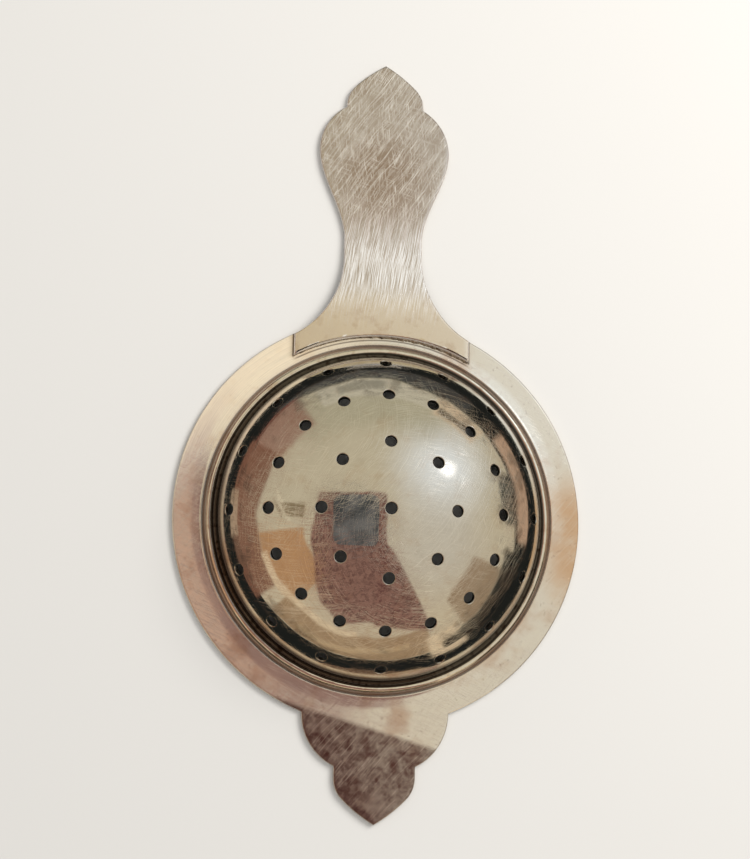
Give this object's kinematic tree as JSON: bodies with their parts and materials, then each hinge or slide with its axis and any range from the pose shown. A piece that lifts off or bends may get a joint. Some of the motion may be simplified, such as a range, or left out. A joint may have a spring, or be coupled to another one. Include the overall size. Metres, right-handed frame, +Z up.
{
  "type": "over-the-cup tea strainer",
  "caption": "Dome-shaped pierced tea strainer bowl in a flat rim plate, with a waisted handle and a short pointed rest tab that lie across a cup's mouth.",
  "frame": {"origin": "the bowl's axis at the level of the table that the part lies on, dome up", "axes": "+Z up along the bowl's axis to the top of the dome, +Y along the handle, +X across"},
  "size_m": [0.072, 0.136, 0.017],
  "materials": {
    "plate_silver": "satin silver with fine turning marks and warm tarnish",
    "bowl_silver": "polished silver with fine swirl scratches",
    "wire_silver": "bright worn silver with dark creases",
    "solder": "dull grey silver solder, slightly pitted",
    "handle_silver": "satin silver with long fine scratches and mottled tarnish"
  },
  "bodies": {
    "root": {"rim_plate": "plate_silver", "strainer_bowl": "bowl_silver", "collar_wire": "wire_silver", "bowl_solder": "solder", "handle": "handle_silver", "handle_solder": "solder"}
  },
  "joints": []
}
